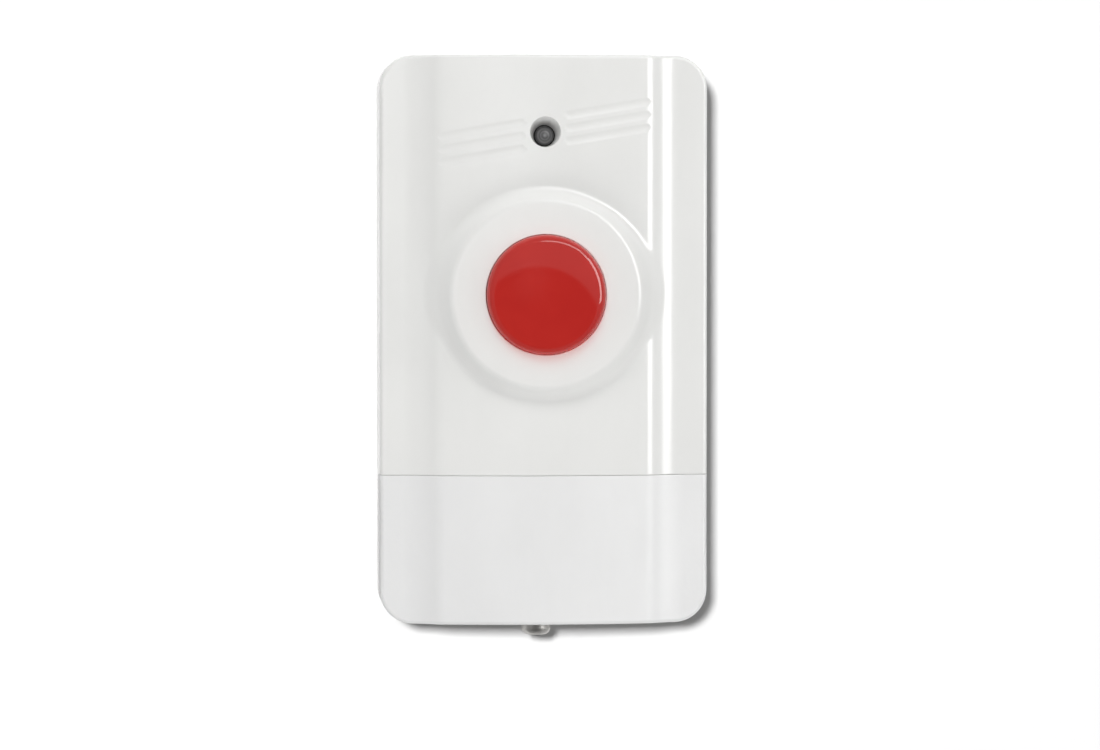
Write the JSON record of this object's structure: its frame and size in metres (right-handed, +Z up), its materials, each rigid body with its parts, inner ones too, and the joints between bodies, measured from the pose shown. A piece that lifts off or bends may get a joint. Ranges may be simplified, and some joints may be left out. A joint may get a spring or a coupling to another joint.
{
  "type": "wireless panic button",
  "caption": "Wall-hung white plastic housing with a stepped crowned front, a round red push button in a raised collar, a recessed status light and a sliding battery cover.",
  "frame": {"origin": "centre of the housing's flat rear face, which lies on the wall", "axes": "+Y points out of the rear face into the wall, so the button faces -Y; +Z is up; +X is to the right seen from the front"},
  "size_m": [0.05, 0.0217, 0.0886],
  "materials": {
    "white_gloss": "smooth glossy moulded white",
    "white_matte": "fine matte moulded white",
    "red_plastic": "smooth translucent red",
    "spring_steel": "bright spring wire",
    "board_laminate": "green lacquered laminate",
    "black_plastic": "moulded black",
    "nickel_plate": "bright nickel plate",
    "light_lens": "smoky clear lens",
    "capacitor_can": "drawn can",
    "copper_wire": "enamelled copper",
    "ceramic": "fired ceramic",
    "battery_jacket": "shrunk plain jacket",
    "screw_steel": "zinc plate"
  },
  "bodies": {
    "housing": {"front_case": "white_gloss", "rear_case": "white_gloss", "button_spring": "spring_steel", "circuit_board": "board_laminate", "tact_switch_base": "black_plastic", "tact_switch_lid": "nickel_plate", "status_light": "light_lens", "encoder_chip": "black_plastic", "saw_resonator": "nickel_plate", "reservoir_capacitor": "capacitor_can", "rf_transistor": "black_plastic", "antenna_coil": "copper_wire", "chip_resistors": "black_plastic", "chip_capacitors": "ceramic", "battery": "battery_jacket", "positive_contact": "nickel_plate", "negative_contact": "nickel_plate", "negative_spring": "nickel_plate", "case_screws": "screw_steel", "board_screws": "screw_steel"},
    "cover": {"battery_cover": "white_matte", "cover_screw": "nickel_plate"},
    "button": {"button_cap": "red_plastic"},
    "switch_plunger": {"tact_switch_plunger": "black_plastic"}
  },
  "joints": [
    {"name": "button_press", "type": "slide", "parent": "housing", "child": "button", "axis": [0, 1, 0], "range_m": [0, 0.0012], "stiffness_N_per_m": 1500, "springref_m": -0.0005, "deforming": ["button_spring"]},
    {"name": "switch_press", "type": "slide", "parent": "housing", "child": "switch_plunger", "axis": [0, 1, 0], "range_m": [0, 0.0003]},
    {"name": "cover_slide", "type": "slide", "parent": "housing", "child": "cover", "axis": [0, 0, -1], "range_m": [0, 0.026]}
  ],
  "couplings": [
    {"joint": "switch_press", "follows": "button_press", "ratio": 0.25}
  ]
}
